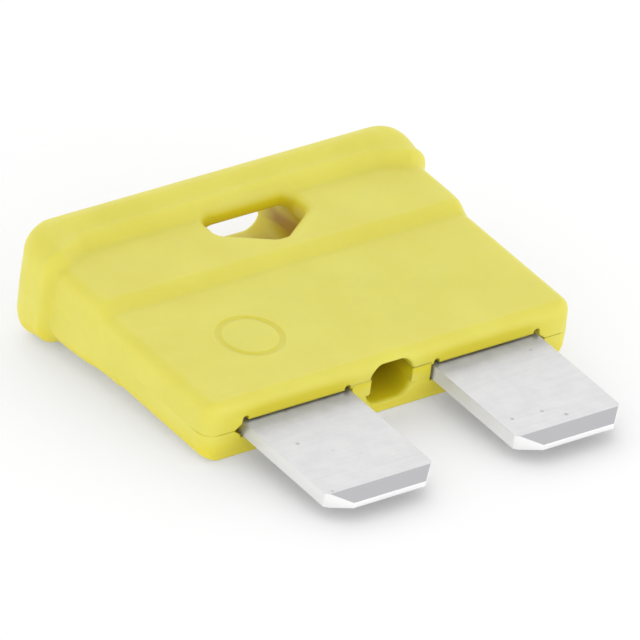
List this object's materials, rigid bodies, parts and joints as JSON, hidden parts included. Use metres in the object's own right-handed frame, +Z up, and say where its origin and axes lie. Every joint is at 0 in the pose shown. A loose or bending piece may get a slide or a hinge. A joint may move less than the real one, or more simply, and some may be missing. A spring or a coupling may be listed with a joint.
{
  "type": "blade fuse",
  "caption": "Plug-in blade fuse for vehicles: two stamped blades joined by a thin link inside a moulded two-piece housing with a grip head, a window and an open eye.",
  "frame": {"origin": "below the middle of the part's plan, at its lowest face", "axes": "+X across the two blades, +Y along the part from the blade tips to the head, +Z up through the thickness as it lies flat"},
  "size_m": [0.019, 0.0198, 0.005],
  "materials": {
    "cover_plastic": "satin moulded polyamide",
    "base_plastic": "satin moulded polyamide",
    "element_zinc": "rolled and stamped zinc alloy, dull tin plate"
  },
  "bodies": {
    "root": {"upper_shell": "cover_plastic", "lower_shell": "base_plastic", "fuse_element": "element_zinc"}
  },
  "joints": []
}
